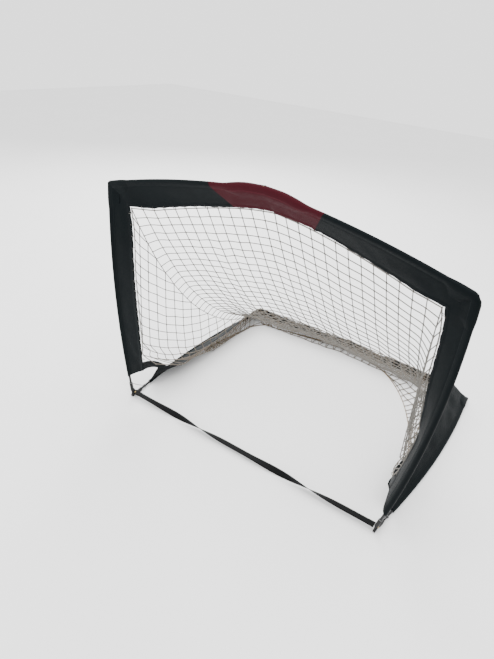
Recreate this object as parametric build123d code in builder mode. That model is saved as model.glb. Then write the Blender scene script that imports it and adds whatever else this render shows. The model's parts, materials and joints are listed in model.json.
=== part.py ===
from build123d import *

import os
from collections import namedtuple
from math import cos, radians, sin, sqrt, tan

# A folding practice goal: eight fibreglass poles joined by eight hinges, fabric sleeves on the
# poles, a knotted net laced to the sleeves and a webbing strap along the goal line.
# Origin: on the ground, in the middle of the goal's length, width and depth.
# +X runs along the crossbar, +Y runs from the mouth to the back, +Z is up.

# Driving dimensions of the frame, in millimetres and degrees. Spans and heights are pole axes.
TOP_SPAN = 1304.0
GROUND_SPAN = 1130.0
REAR_SPAN = 1200.0
DEPTH = 990.0
FRONT_Y = -523.55
TOP_AXIS_Z = 906.0
GROUND_AXIS_Z = 8.0
CROSSBAR_SLOPE = 10.3
REAR_SLOPE = 4.5
SIDE_BOW_ANGLE = 7.0  # slope at each end of a post or arm that the net and strap bend outwards
CROSSBAR_BOW_ANGLE = 4.5  # the same for each half of the crossbar, bent upwards
POLE_DIAMETER = 9.5

# Hinges: two moulded knuckles with flat lugs that lap on a rivet
PIVOT_OFFSET = 11.0  # from each pole's axis, so folded poles lie two offsets apart
PEAK_PIVOT_OFFSET = 8.0
EYE_RADIUS = 6.0
LUG_THICKNESS = 4.0
LUG_GAP = 1.0
REAR_PEAK_GAP = 3.0  # wider, because this hinge is left open as the goal folds
SOCKET_RADIUS = 7.0
SOCKET_START = 11.0  # from the pivot, along the pole
SOCKET_FLOOR = 4.0
SOCKET_DEPTH = 30.0
BORE_CLEARANCE = 0.05
WEB_REACH = 12.0
FOOT_LENGTH = 24.0
FOOT_WIDTH = 12.0
RIVET_RADIUS = 2.0
RIVET_CLEARANCE = 0.05
RIVET_HEAD_RADIUS = 4.0
RIVET_HEAD_HEIGHT = 1.6
RIVET_HEAD_ROUND = 0.8
RIVET_HEAD_GAP = 0.1

# Fabric sleeves: a hem round the pole and a flat band towards the net
HEM_RADIUS = 6.4
HEM_BORE = 5.2
BAND_WIDTH = 110.0
HEM_EDGE = 8.0  # where the flat band takes over from the round hem
FABRIC_THICKNESS = 2.0
GROUND_BAND_LEAN = 55.0  # above the ground, leaning in over it
CROSSBAR_TILT = 30.0  # of the crossbar's band, back from upright
MITRE_GAP = 1.5
HINGE_CLEAR_RADIUS = 24.0
HINGE_CLEAR_HALF = 12.0
SOCKET_CLEAR_RADIUS = 8.0
PANEL_HALF_LENGTH = 195.0  # of the red panel, along the crossbar's axis
PANEL_SLANT = 20.0
FOOT_HOLE_RADIUS = 88.0  # of the rounded gap in the fabric at each front foot
POST_HOLE_CENTRE = (74.0, 53.0)  # inwards and up from the foot
ARM_HOLE_CENTRE = (60.0, 50.0)  # up the band and back from the foot

# Net panels, strap and foot cords
NET_THICKNESS = 2.0
NET_SAG = 90.0
NET_SIDE_X = 528.0
NET_FRONT_OFFSET = (62.0, 88.0)  # back and down from the crossbar's axis
NET_REAR_GAP = 8.0  # between the rear band's edge and the net
NET_SEAM_GAP = 1.5
SIDE_NET_TOP_OFFSET = (8.0, 6.0, 110.0)  # out from the net's side, back and down from the top corner
SIDE_NET_FOOT_OFFSET = (96.0, 6.0, 152.0)  # in, back and up from the foot
SIDE_NET_BACK_OFFSET = (4.0, 8.0, 4.0)  # out, forward and up from the net's rear corner
SIDE_NET_MIDDLE_OUT = 6.0
NET_STEPS = 4
STRAP_WIDTH = 25.0
STRAP_THICKNESS = 2.0
STRAP_END_GAP = 8.0  # from the foot hinge's middle plane
CORD_DIAMETER = 2.5
CORD_UP_POST = 58.0
CORD_BACK_ARM = 84.0
CORD_END_GAP = 10.0

UP = Vector(0, 0, 1)
BACK = Vector(0, 1, 0)
Hinge = namedtuple("Hinge", "corner axis turn gap offset")


# ------------------------------------------------------------------ frame lines, left half
top_corner = Vector(-TOP_SPAN / 2, FRONT_Y, TOP_AXIS_Z)
foot_corner = Vector(-GROUND_SPAN / 2, FRONT_Y, GROUND_AXIS_Z)
rear_corner = Vector(-REAR_SPAN / 2, FRONT_Y + DEPTH, GROUND_AXIS_Z)
crossbar_rise = TOP_SPAN / 2 * tan(radians(CROSSBAR_SLOPE))
crossbar_peak = Vector(0, FRONT_Y, TOP_AXIS_Z + crossbar_rise)
rear_rise = REAR_SPAN / 2 * tan(radians(REAR_SLOPE))
rear_peak = Vector(0, FRONT_Y + DEPTH + rear_rise, GROUND_AXIS_Z)

post_up = (top_corner - foot_corner).normalized()
arm_back = (rear_corner - foot_corner).normalized()
crossbar_in = (crossbar_peak - top_corner).normalized()
rear_in = (rear_peak - rear_corner).normalized()

# A bow is the way a pole bulges, and its length is the slope at the pole's ends
post_bow = post_up.cross(BACK).normalized() * tan(radians(SIDE_BOW_ANGLE))
arm_bow = UP.cross(arm_back).normalized() * tan(radians(SIDE_BOW_ANGLE))
crossbar_bow = crossbar_in.cross(BACK).normalized() * tan(radians(CROSSBAR_BOW_ANGLE))

foot_axis = arm_back.cross(post_up).normalized()
top_turn = crossbar_in.get_angle(post_up * -1)
foot_turn = post_up.get_angle(arm_back)
rear_turn = rear_in.get_angle(arm_back * -1)
peak_turn = 180 + 2 * CROSSBAR_SLOPE
rear_peak_turn = 180 + 2 * REAR_SLOPE
top_hinge = Hinge(top_corner, BACK, top_turn, LUG_GAP, PIVOT_OFFSET)
foot_hinge = Hinge(foot_corner, foot_axis, foot_turn, LUG_GAP, PIVOT_OFFSET)
rear_hinge = Hinge(rear_corner, UP * -1, rear_turn, LUG_GAP, PIVOT_OFFSET)
peak_hinge = Hinge(crossbar_peak, BACK, peak_turn, LUG_GAP, PEAK_PIVOT_OFFSET)
rear_peak_hinge = Hinge(rear_peak, UP, rear_peak_turn, REAR_PEAK_GAP, PIVOT_OFFSET)


def flip(vector):
    """The same direction on the right half of the goal."""
    return Vector(-vector.X, vector.Y, vector.Z)


def pivot_of(hinge, first, second):
    """The rivet's place: one offset from both pole axes, on the side that closes."""
    return hinge.corner + (first + second) * (hinge.offset / sin(radians(hinge.turn)))


pivots = {
    "top": pivot_of(top_hinge, post_up * -1, crossbar_in),
    "foot": pivot_of(foot_hinge, post_up, arm_back),
    "rear": pivot_of(rear_hinge, arm_back * -1, rear_in),
    "peak": pivot_of(peak_hinge, crossbar_in * -1, flip(crossbar_in * -1)),
    "rear_peak": pivot_of(rear_peak_hinge, rear_in * -1, flip(rear_in * -1)),
}


def pole_inset(hinge):
    """How far from the virtual corner a pole stops."""
    return hinge.offset / tan(radians(hinge.turn / 2)) + SOCKET_START + SOCKET_FLOOR


def end_direction(along, bow):
    """The pole's own direction at one end: a bowed pole leaves at a slope."""
    if bow is None:
        return along
    return (along + bow).normalized()


def draw_run(start, end, bow):
    """A pole's centre line: straight, or two straight ends joined by one long arc."""
    if bow is None:
        return Line(start, end)
    apex = (start + end) * 0.5 + bow * ((end - start).length / 2)
    straight_end = SOCKET_DEPTH + SOCKET_START
    arc_radius = ((apex - start).length - straight_end) / bow.length
    return FilletPolyline(start, apex, end, radius=arc_radius)


# ------------------------------------------------------------------ poles, knuckles and rivets
def make_pole(start_hinge, end_hinge, bow=None):
    along = (end_hinge.corner - start_hinge.corner).normalized()
    start = start_hinge.corner + along * pole_inset(start_hinge)
    end = end_hinge.corner - along * pole_inset(end_hinge)
    with BuildPart() as pole:
        with BuildLine() as run:
            draw_run(start, end, bow)
        with BuildSketch(Plane(origin=run.line @ 0, z_dir=run.line % 0)):
            Circle(POLE_DIAMETER / 2)
        sweep(path=run.wire())
    return pole.part


def make_knuckle(hinge, pivot, along, layer, bow=None, foot=False):
    """A socket for a pole's end, and a lug beside the hinge's middle plane that takes the rivet.

    On the ground, where no fabric covers it, the lug fills the corner as a rounded elbow.
    """
    middle = Plane(origin=pivot, x_dir=along, z_dir=hinge.axis)
    axis_y = middle.to_local_coords(hinge.corner).Y
    corner_x = middle.to_local_coords(hinge.corner).X
    outward = end_direction(along, bow)
    pole_end = hinge.corner + along * pole_inset(hinge)
    socket_plane = Plane(origin=pole_end - outward * SOCKET_FLOOR, z_dir=outward)
    with BuildPart() as knuckle:
        with BuildSketch(middle.offset(layer * hinge.gap / 2)):
            Circle(EYE_RADIUS)
            if hinge.corner.Z == GROUND_AXIS_Z:
                with Locations((corner_x, axis_y)):
                    Circle(SOCKET_RADIUS)
            with Locations((SOCKET_START + WEB_REACH / 2, axis_y)):
                Rectangle(WEB_REACH, 2 * EYE_RADIUS)
            make_hull()
        extrude(amount=layer * LUG_THICKNESS)
        with BuildSketch(socket_plane):
            Circle(SOCKET_RADIUS)
        extrude(amount=SOCKET_FLOOR + SOCKET_DEPTH)
        if foot:
            under = socket_plane.origin + outward * (SOCKET_FLOOR + SOCKET_DEPTH / 2)
            ground = Plane(origin=(under.X, under.Y, 0), x_dir=outward, z_dir=UP)
            with BuildSketch(ground):
                Rectangle(FOOT_LENGTH, FOOT_WIDTH)
            extrude(amount=GROUND_AXIS_Z)
        with BuildSketch(Plane(origin=pole_end, z_dir=outward)):
            Circle(POLE_DIAMETER / 2 + BORE_CLEARANCE)
        extrude(amount=SOCKET_DEPTH + 1, mode=Mode.SUBTRACT)
        with BuildSketch(middle):
            Circle(RIVET_RADIUS + RIVET_CLEARANCE)
        extrude(amount=HINGE_CLEAR_HALF, both=True, mode=Mode.SUBTRACT)
    return knuckle.part


def make_rivet(hinge, pivot, low_head=True, high_head=True):
    """A domed rivet through both lugs, or one half of it up to the middle plane."""
    reach = hinge.gap / 2 + LUG_THICKNESS + RIVET_HEAD_GAP
    middle = Plane(origin=pivot, z_dir=hinge.axis)
    parting = hinge.gap / 2 - RIVET_HEAD_GAP
    bottom = -reach if low_head else parting
    top = reach if high_head else -parting
    with BuildPart() as rivet:
        with BuildSketch(middle.offset(bottom)):
            Circle(RIVET_RADIUS)
        extrude(amount=top - bottom)
        heads = [(low_head, -1), (high_head, 1)]
        for side in [side for wanted, side in heads if wanted]:
            with BuildSketch(middle.offset(side * reach)):
                Circle(RIVET_HEAD_RADIUS)
            extrude(amount=side * RIVET_HEAD_HEIGHT)
            outer = rivet.faces().filter_by(middle).sort_by(Axis(pivot, hinge.axis))
            rim = (outer[-1] if side > 0 else outer[0]).edges()
            fillet(rim, RIVET_HEAD_ROUND)
    return rivet.part


# ------------------------------------------------------------------ fabric sleeves
def mitre_plane(hinge, along, other):
    """The plane that halves a corner, facing the pole that runs along."""
    facing = (along - other).normalized()
    return Plane(origin=hinge.corner + facing * (MITRE_GAP / 2), z_dir=facing)


def make_sleeve(hinges, pivot_pair, band, bow=None, cuts=(), hole=None):
    """A hem swept along the pole, with a band beside it, trimmed at both hinges."""
    start_hinge, end_hinge = hinges
    along = (end_hinge.corner - start_hinge.corner).normalized()
    hem_start = start_hinge.corner + along * pole_inset(start_hinge)
    hem_end = end_hinge.corner - along * pole_inset(end_hinge)
    with BuildPart() as sleeve:
        with BuildLine() as run:
            draw_run(hem_start, hem_end, bow)
        with BuildSketch(Plane(origin=run.line @ 0, x_dir=band, z_dir=run.line % 0)):
            Circle(HEM_RADIUS)
            with Locations((BAND_WIDTH / 2, 0)):
                Rectangle(BAND_WIDTH, FABRIC_THICKNESS)
            Circle(HEM_BORE, mode=Mode.SUBTRACT)
        sweep(path=run.wire())
        ends = [(start_hinge, pivot_pair[0], along), (end_hinge, pivot_pair[1], along * -1)]
        for hinge, pivot, inward in ends:
            outward = end_direction(inward, bow)
            inset = pole_inset(hinge)
            socket_base = hinge.corner + (inward - outward) * inset
            with BuildSketch(Plane(origin=pivot, z_dir=hinge.axis)):
                Circle(HINGE_CLEAR_RADIUS)
            extrude(amount=HINGE_CLEAR_HALF, both=True, mode=Mode.SUBTRACT)
            with BuildSketch(Plane(origin=socket_base, z_dir=outward)):
                Circle(SOCKET_CLEAR_RADIUS)
            extrude(amount=inset + SOCKET_DEPTH + 1, mode=Mode.SUBTRACT)
        if hole is not None:
            hole_plane, centre = hole
            hem_end_at = centre[1] + sqrt(FOOT_HOLE_RADIUS**2 - (centre[0] - HEM_EDGE) ** 2)
            with BuildSketch(hole_plane):
                with Locations(centre):
                    Circle(FOOT_HOLE_RADIUS)
                with Locations((centre[0], centre[1] - FOOT_HOLE_RADIUS)):
                    Rectangle(4 * FOOT_HOLE_RADIUS, 2 * FOOT_HOLE_RADIUS)
                with Locations((HEM_EDGE, hem_end_at)):
                    Rectangle(BAND_WIDTH, BAND_WIDTH, align=(Align.MAX, Align.MAX))
            extrude(amount=BAND_WIDTH, both=True, mode=Mode.SUBTRACT)
        for cut in cuts:
            split(bisect_by=cut, keep=Keep.TOP)
    return sleeve.part


# ------------------------------------------------------------------ net, strap and cords
def net_point(start, end, fraction):
    """A point on a net line from the crossbar's band to the rear band, sagging in between."""
    sag = NET_SAG * 4 * fraction * (1 - fraction)
    return ((1 - fraction) * start[0] + fraction * end[0],
            (1 - fraction) * start[1] + fraction * end[1] - sag)


def make_net_panel(side_line, middle_line, fractions):
    """Half the sloping net between two fractions of its fall, as one thin sagging sheet."""
    with BuildPart() as net:
        for x, line in ((-NET_SIDE_X, side_line), (-NET_SEAM_GAP / 2, middle_line)):
            under = [net_point(*line, fraction) for fraction in fractions]
            over = [(y + NET_THICKNESS, z + NET_THICKNESS) for y, z in reversed(under)]
            with BuildSketch(Plane.YZ.offset(x)):
                with BuildLine():
                    Polyline(*under, *over, close=True)
                make_face()
        loft(ruled=True)
    return net.part


def make_triangle_net(corners):
    """A flat three-cornered piece of side netting, drawn in the plane of its corners."""
    first, second, third = corners
    normal = (second - first).cross(third - first)
    flat = Plane(origin=first, x_dir=second - first, z_dir=normal)
    outline = [flat.to_local_coords(corner) for corner in corners]
    with BuildPart() as net:
        with BuildSketch(flat):
            with BuildLine():
                Polyline(*[(point.X, point.Y) for point in outline], close=True)
            make_face()
        extrude(amount=NET_THICKNESS / 2, both=True)
    return net.part


def make_strap():
    """Webbing along the goal line, held at both ends by the foot hinges' rivets."""
    with BuildPart() as strap:
        with BuildSketch(Plane.YZ):
            with Locations((pivots["foot"].Y, pivots["foot"].Z)):
                Rectangle(STRAP_WIDTH, STRAP_THICKNESS)
        extrude(amount=GROUND_SPAN / 2 - STRAP_END_GAP, both=True)
    return strap.part


def make_cord():
    """The elastic cord that crosses the open corner above a front foot."""
    high = foot_corner + post_up * CORD_UP_POST
    low = foot_corner + arm_back * CORD_BACK_ARM
    run = (low - high).normalized()
    with BuildPart() as cord:
        with BuildSketch(Plane(origin=high + run * CORD_END_GAP, z_dir=run)):
            Circle(CORD_DIAMETER / 2)
        extrude(amount=(low - high).length - 2 * CORD_END_GAP)
    return cord.part


def mirror_part(part):
    """The right-hand twin of a left-hand piece."""
    with BuildPart() as twin:
        mirror(part, about=Plane.YZ)
    return twin.part


def write(name, part):
    part.label = name
    export_step(part, "parts/" + name + ".step")


# ------------------------------------------------------------------ the left half's pieces
post_in = post_bow.normalized() * -1
arm_lean = radians(GROUND_BAND_LEAN)
arm_band = arm_bow.normalized() * -cos(arm_lean) + UP * sin(arm_lean)
rear_front = rear_in.cross(UP).normalized()
rear_band = rear_front * cos(arm_lean) + UP * sin(arm_lean)
crossbar_down = BACK.cross(crossbar_in).normalized()
crossbar_band = crossbar_down * cos(radians(CROSSBAR_TILT)) + BACK * sin(radians(CROSSBAR_TILT))

panel_line = crossbar_peak - crossbar_in * PANEL_HALF_LENGTH
panel_edge = (crossbar_in * cos(radians(PANEL_SLANT)) + UP * sin(radians(PANEL_SLANT)))
panel_edge = panel_edge.normalized()
gap_step = panel_edge * (MITRE_GAP / 2)
sleeve_end_cut = Plane(origin=panel_line - gap_step, z_dir=panel_edge * -1)
panel_end_cut = Plane(origin=panel_line + gap_step, z_dir=panel_edge)
top_post_cut = mitre_plane(top_hinge, post_up * -1, crossbar_in)
top_crossbar_cut = mitre_plane(top_hinge, crossbar_in, post_up * -1)
peak_cut = mitre_plane(peak_hinge, crossbar_in * -1, flip(crossbar_in * -1))
rear_arm_cut = mitre_plane(rear_hinge, arm_back * -1, rear_in)
rear_bar_cut = mitre_plane(rear_hinge, rear_in, arm_back * -1)
rear_peak_cut = mitre_plane(rear_peak_hinge, rear_in * -1, flip(rear_in * -1))
post_hole = Plane(origin=foot_corner, x_dir=post_in, z_dir=post_in.cross(post_up))
arm_hole = Plane(origin=foot_corner, x_dir=arm_band, z_dir=arm_band.cross(arm_back))

post_hinges = (foot_hinge, top_hinge)
arm_hinges = (foot_hinge, rear_hinge)
crossbar_hinges = (top_hinge, peak_hinge)
rear_hinges = (rear_hinge, rear_peak_hinge)
post_pivots = (pivots["foot"], pivots["top"])
arm_pivots = (pivots["foot"], pivots["rear"])
crossbar_pivots = (pivots["top"], pivots["peak"])
rear_pivots = (pivots["rear"], pivots["rear_peak"])

net_back_deep, net_front_down = NET_FRONT_OFFSET
band_deep = BAND_WIDTH * cos(arm_lean)
net_tail_z = GROUND_AXIS_Z + BAND_WIDTH * sin(arm_lean) + NET_THICKNESS
net_tail_y = rear_corner.Y - band_deep - NET_REAR_GAP
side_line = ((FRONT_Y + net_back_deep, TOP_AXIS_Z - net_front_down), (net_tail_y, net_tail_z))
middle_line = ((FRONT_Y + net_back_deep, crossbar_peak.Z - net_front_down),
               (net_tail_y + rear_rise, net_tail_z))
half_steps = NET_STEPS // 2
fractions = [step / NET_STEPS for step in range(NET_STEPS + 1)]
seam = NET_SEAM_GAP / DEPTH
upper_fractions = fractions[:half_steps] + [fractions[half_steps] - seam]
lower_fractions = [fractions[half_steps] + seam] + fractions[half_steps + 1:]

out, back, down = SIDE_NET_TOP_OFFSET
net_top = Vector(-NET_SIDE_X - out, FRONT_Y + back, TOP_AXIS_Z - down)
inward, back, up = SIDE_NET_FOOT_OFFSET
net_foot = foot_corner + Vector(inward, back, up)
out, forward, up = SIDE_NET_BACK_OFFSET
net_back = Vector(-NET_SIDE_X - out, net_tail_y - forward, net_tail_z + up)
middle_y, middle_z = net_point(*side_line, 0.5)
net_middle = Vector(-NET_SIDE_X - SIDE_NET_MIDDLE_OUT, middle_y, middle_z)
seam_shift = Vector(0, NET_SEAM_GAP / 2, -NET_SEAM_GAP / 2)

left_pieces = {
    "post_pole": make_pole(foot_hinge, top_hinge, post_bow),
    "post_top_knuckle": make_knuckle(top_hinge, pivots["top"], post_up * -1, -1, post_bow),
    "post_foot_knuckle": make_knuckle(foot_hinge, pivots["foot"], post_up, 1, post_bow),
    "top_rivet": make_rivet(top_hinge, pivots["top"]),
    "foot_rivet": make_rivet(foot_hinge, pivots["foot"]),
    "post_sleeve": make_sleeve(post_hinges, post_pivots, post_in, post_bow, [top_post_cut],
                               (post_hole, POST_HOLE_CENTRE)),
    "post_side_net": make_triangle_net([net_top - seam_shift, net_foot - seam_shift,
                                        net_middle - seam_shift]),
    "foot_cord": make_cord(),
    "arm_pole": make_pole(foot_hinge, rear_hinge, arm_bow),
    "arm_foot_knuckle": make_knuckle(foot_hinge, pivots["foot"], arm_back, -1, arm_bow, True),
    "arm_rear_knuckle": make_knuckle(rear_hinge, pivots["rear"], arm_back * -1, 1, arm_bow, True),
    "rear_rivet": make_rivet(rear_hinge, pivots["rear"]),
    "arm_sleeve": make_sleeve(arm_hinges, arm_pivots, arm_band, arm_bow, [rear_arm_cut],
                              (arm_hole, ARM_HOLE_CENTRE)),
    "arm_side_net": make_triangle_net([net_foot + seam_shift, net_back + seam_shift,
                                       net_middle + seam_shift]),
    "crossbar_pole": make_pole(top_hinge, peak_hinge, crossbar_bow),
    "crossbar_corner_knuckle": make_knuckle(top_hinge, pivots["top"], crossbar_in, 1, crossbar_bow),
    "crossbar_sleeve": make_sleeve(crossbar_hinges, crossbar_pivots, crossbar_band, crossbar_bow,
                                   [top_crossbar_cut, sleeve_end_cut]),
    "centre_panel": make_sleeve(crossbar_hinges, crossbar_pivots, crossbar_band, crossbar_bow,
                                [panel_end_cut, peak_cut]),
    "upper_net": make_net_panel(side_line, middle_line, upper_fractions),
    "rear_pole": make_pole(rear_hinge, rear_peak_hinge),
    "rear_corner_knuckle": make_knuckle(rear_hinge, pivots["rear"], rear_in, -1, foot=True),
    "rear_sleeve": make_sleeve(rear_hinges, rear_pivots, rear_band,
                               cuts=[rear_bar_cut, rear_peak_cut]),
    "lower_net": make_net_panel(side_line, middle_line, lower_fractions),
}

# ------------------------------------------------------------------ write every piece
os.makedirs("parts", exist_ok=True)
for piece, part in left_pieces.items():
    write("left_" + piece, part)
    write("right_" + piece, mirror_part(part))

peak_left = make_knuckle(peak_hinge, pivots["peak"], crossbar_in * -1, -1, crossbar_bow)
peak_right = make_knuckle(peak_hinge, pivots["peak"], crossbar_in * -1, 1, crossbar_bow)
write("left_crossbar_peak_knuckle", peak_left)
write("right_crossbar_peak_knuckle", mirror_part(peak_right))
write("peak_rivet", make_rivet(peak_hinge, pivots["peak"]))

back_left = make_knuckle(rear_peak_hinge, pivots["rear_peak"], rear_in * -1, -1, foot=True)
back_right = make_knuckle(rear_peak_hinge, pivots["rear_peak"], rear_in * -1, 1, foot=True)
write("left_rear_middle_knuckle", back_left)
write("right_rear_middle_knuckle", mirror_part(back_right))
write("rear_middle_rivet_lower", make_rivet(rear_peak_hinge, pivots["rear_peak"], high_head=False))
write("rear_middle_rivet_upper", make_rivet(rear_peak_hinge, pivots["rear_peak"], low_head=False))
write("ground_strap", make_strap())

for name, pivot in pivots.items():
    print("pivot", name, [round(value, 5) for value in pivot])
for name, hinge in (("top", top_hinge), ("foot", foot_hinge), ("rear", rear_hinge)):
    print("hinge", name, [round(value, 9) for value in hinge.axis], round(hinge.turn, 5))
peak_stop = peak_turn - 2 * CROSSBAR_BOW_ANGLE
print("hinge peak, closed until its bowed poles' ends are parallel", peak_stop)
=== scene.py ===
import json
from itertools import combinations
from math import cos, pi, radians, sin, sqrt, tan

import bpy
import numpy as np
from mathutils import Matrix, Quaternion, Vector, noise


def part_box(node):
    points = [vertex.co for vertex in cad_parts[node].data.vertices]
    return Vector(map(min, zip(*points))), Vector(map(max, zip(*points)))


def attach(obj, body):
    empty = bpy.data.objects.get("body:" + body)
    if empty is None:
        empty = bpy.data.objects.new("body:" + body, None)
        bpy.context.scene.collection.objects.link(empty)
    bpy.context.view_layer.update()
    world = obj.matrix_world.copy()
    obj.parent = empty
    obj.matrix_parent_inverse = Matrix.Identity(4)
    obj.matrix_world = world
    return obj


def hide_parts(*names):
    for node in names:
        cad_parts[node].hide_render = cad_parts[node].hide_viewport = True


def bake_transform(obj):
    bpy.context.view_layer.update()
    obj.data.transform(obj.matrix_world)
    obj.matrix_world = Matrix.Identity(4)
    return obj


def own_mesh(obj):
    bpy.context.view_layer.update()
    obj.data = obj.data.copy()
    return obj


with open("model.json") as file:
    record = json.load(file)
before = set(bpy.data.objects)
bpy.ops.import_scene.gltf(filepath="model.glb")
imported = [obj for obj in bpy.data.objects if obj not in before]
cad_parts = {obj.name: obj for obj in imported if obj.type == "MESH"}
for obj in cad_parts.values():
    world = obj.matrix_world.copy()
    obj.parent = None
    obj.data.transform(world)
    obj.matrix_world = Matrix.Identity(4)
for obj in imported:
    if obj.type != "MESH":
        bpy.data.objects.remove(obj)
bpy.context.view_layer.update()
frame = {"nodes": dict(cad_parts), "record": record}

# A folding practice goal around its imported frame, in metres: cloth hems and bands on the poles,
# a slack knotted net tied to the bands, a twisted strap on the goal line, and their materials.
# Both halves are worked out as left ones from the frame, and the right one is then mirrored.

# Camera, at the photograph's viewing angle
CAMERA_AT = Vector((0.8245, -1.8347, 1.4381))
CAMERA_TARGET = Vector((-0.3475, 0.0, 0.1999))
CAMERA_ROLL = radians(5.39)
CAMERA_LENS = 29.26  # millimetres
CAMERA_SENSOR = 36.0  # millimetres, along the picture's longer side

# Hems, and the pouches where they widen round the hinges
POLE_RADIUS = 0.00475
END_FACE_DEPTH = 0.003  # the points this near to a pole's end belong to its end face
HEM_RADIUS = 0.0071
HEM_REACH = 0.016  # from the pole's axis to the row of stitches that closes the hem
HEM_ROUND_POINTS = 13
HEM_FLAT_SHARES = np.array([0.12, 0.26, 0.42, 0.60, 0.80, 1.0])
HEM_OUTER = 0.7  # of a hem's reach, the part that rises over a middle hinge
HEM_CREASE = 0.08  # how much a hem's roundness varies
HEM_CREASES = (30, 200)  # per metre, along the hem and across it
POUCH_RADIUS = 0.0092
POUCH_REACH = 0.042
POUCH_OVER = 0.0002  # how far outside its hem a pouch starts
POUCH_SPAN = 0.092  # from a corner to where its pouch meets the hem
POUCH_FULL = 0.060
POUCH_LAP = 0.012  # how far a hem runs on inside the pouch
PEAK_POUCH = (0.11, 0.16)  # from the peak, where its pouch is full and where it ends
PEAK_RISE = 0.0060
PEAK_SWELL = 0.03
PEAK_SWELL_ENDS = (0.05, 0.15)
REAR_MIDDLE_RISE = 0.0085
REAR_MIDDLE_REACH = 0.05
CORNER_ROUND = {"left": 0.010, "right": 0.028}  # the left corner is pulled tighter
BLEND_FROM = 0.07  # from a corner, where add_corner takes a point on each run, which nothing uses
STATION_STEP = 0.010
FLOOR_GAP = 0.0006

# Bands of doubled cloth that the net pulls over
CLOTH_HALF = 0.0008
BINDING_HALF = 0.0014
BINDING_WIDTH = 0.012
BINDING_STEP = 0.001  # over which the cloth thickens into its binding
BINDING_SECTION = np.array([(BINDING_WIDTH, BINDING_HALF), (0.004, BINDING_HALF), (0.001, 0.0009),
                            (0.0, 0.0)])  # distance from the edge, and half the thickness
BAND_POINTS = 10  # across a band, up to its binding
BAND_ROOT = 0.0062
MID_BAND = 0.05  # about half way across a band
NEAR_EDGE = 0.1  # about at its edge
BAND_FADE = 0.02  # from a band's ends, where its wrinkles die out
ANCHOR_BOW = 0.4  # of a pole's bow, where squash_to_pole puts an anchor that nothing uses
SEAM_LAP = 0.0022
SCALLOP = 0.0012
SCALLOP_PITCH = 0.046
SCALLOP_FROM = (0.02, 0.06)
SCALLOP_WIDTH = 0.08  # from the pole, past which the edge is scalloped
WRINKLE_HEIGHT = {"post": 0.0035, "crossbar": 0.0035, "arm": 0.008, "rear": 0.006, "centre": 0.0045}
WRINKLE_FROM = (0.010, 0.055)
BROAD_FOLDS = (5.5, 8)  # per metre, along the band and across it
FINE_FOLDS = (13, 17)
FINE_SHARE = 0.5
CREASE_FOLDS = (17, 21, 6)
CREASE_SHARE = 0.45
EDGE_FROM_CHORD = 0.083  # a post's band, from the straight line between its corners
CROSSBAR_EDGE = 0.097
GROUND_BAND = 0.107
CORNER_EDGE = 0.088  # the width both bands come to at a top corner
CORNER_HOLD = 0.07
CORNER_BLEND = 0.16
FOLLOW_BOW = {"left": 1.0, "right": 0.1}  # how much of a post's bow its band's width makes up
PEAK_BLEND = 0.14  # how far from the peak the cloth's straight lines are rounded off
RED_HALF_TOP = 0.197
RED_SLANT = 0.36

# How far each band leans from flat, and the shares of its pole's length where that changes
BAND_BEND = 0.022  # an upright band leaves its pole flat, and leans from here on
CORNER_LEAN = {"left": radians(10), "right": radians(22)}  # of the bands at a top corner
POST_CORNER_TURN = (0.6, 0.88)
FOOT_LEAN = {"left": 0.0, "right": radians(74)}  # how far the net turns a post's band in, low down
POST_FOOT_TURN = (0.43, 0.93)
CROSSBAR_TILT = radians(46)  # at the peak, where the net pulls the band's edge back most
TILT_FROM = 0.12
TILT_POWER = 0.8
ARM_LEAN = {"left": radians(32), "right": radians(50)}
ARM_FOOT_LEAN = radians(66)
ARM_FOOT_TURN = (0.11, 0.27)
ARM_CORNER_TURN = (0.6, 0.9)
REAR_LEAN_CORNER = radians(50)
REAR_LEAN_MIDDLE = radians(45)

# Openings above the front feet, and the strip that bridges each from post to arm
ARCH_START = 0.092
ARCH_RISE = 0.058
ARCH_WIDTH = 0.095
ARCH_POWER = 0.9
ARM_ARCH_START = 0.118
ARM_ARCH_RISE = 0.012
POST_FOOT_EDGE = 0.093  # a post band's width at its lower end
BRIDGE_WIDTH = 0.036
BRIDGE_LENGTH = 0.15
BRIDGE_STEPS = 24
BRIDGE_SHARES = (0, 0.33, 0.67, 1)
BRIDGE_BEND_AT = 0.09
# Its two edges: how far up the post's band and in from its edge, the same on the arm's band,
# and how high its middle rises
BRIDGE_EDGES = (((-0.004, 0.012), (0.002, 0.012), 0.010),
                ((BRIDGE_WIDTH, 0.004), (BRIDGE_WIDTH, 0.003), 0.016))

# Places in the noise, so that no two pieces crease alike
POUCH_SEEDS = (3.0, 4.0)
CENTRE_SEED = 8.0
HEM_SEED = 11.0
BAND_SEED = 20.0
BAND_SEED_STEP = 7

# Net: tied to the bands' edges, with a skirt that hangs on inside the ground bands
NET_COLUMNS = 26
SIDE_STEPS = 16
NET_ROWS = 2 * SIDE_STEPS
NET_HANG = 0.007  # between a band's edge and the net's border cord
TIE_INSET = 0.004  # of the first tie, from a band's corner
TWINE_RADIUS = 0.0016
BORDER_RADIUS = 0.0019
KNOT_RADIUS = 0.0030
KNOT_STRETCH = 0.35
SLACK = {"row": 1.015, "column": 1.004, "side row": 1.02, "side column": 1.02,
         "skirt row": 1.04, "skirt column": 1.04}
UNEVEN = (0.955, 1.04)  # the shortest and the longest mesh, as shares of the mean
SKIRT_ROWS = 5
SKIRT_FIRST = 7  # tie on the left arm where the skirt begins
SKIRT_LAST = 2  # tie on the right arm where it ends
SKIRT_MESH = 0.043
SKIRT_CROWD = 0.62  # below 1, the skirt's rows lie closer together at its border
SKIRT_IN = 0.020  # from a ground pole to the skirt's border
SKIRT_CUT = 0.05  # how much further in it lies at the left rear corner
SKIRT_CUT_ARM = 0.68
SKIRT_CUT_REAR = 0.45
SKIRT_TURN = 0.2
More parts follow.
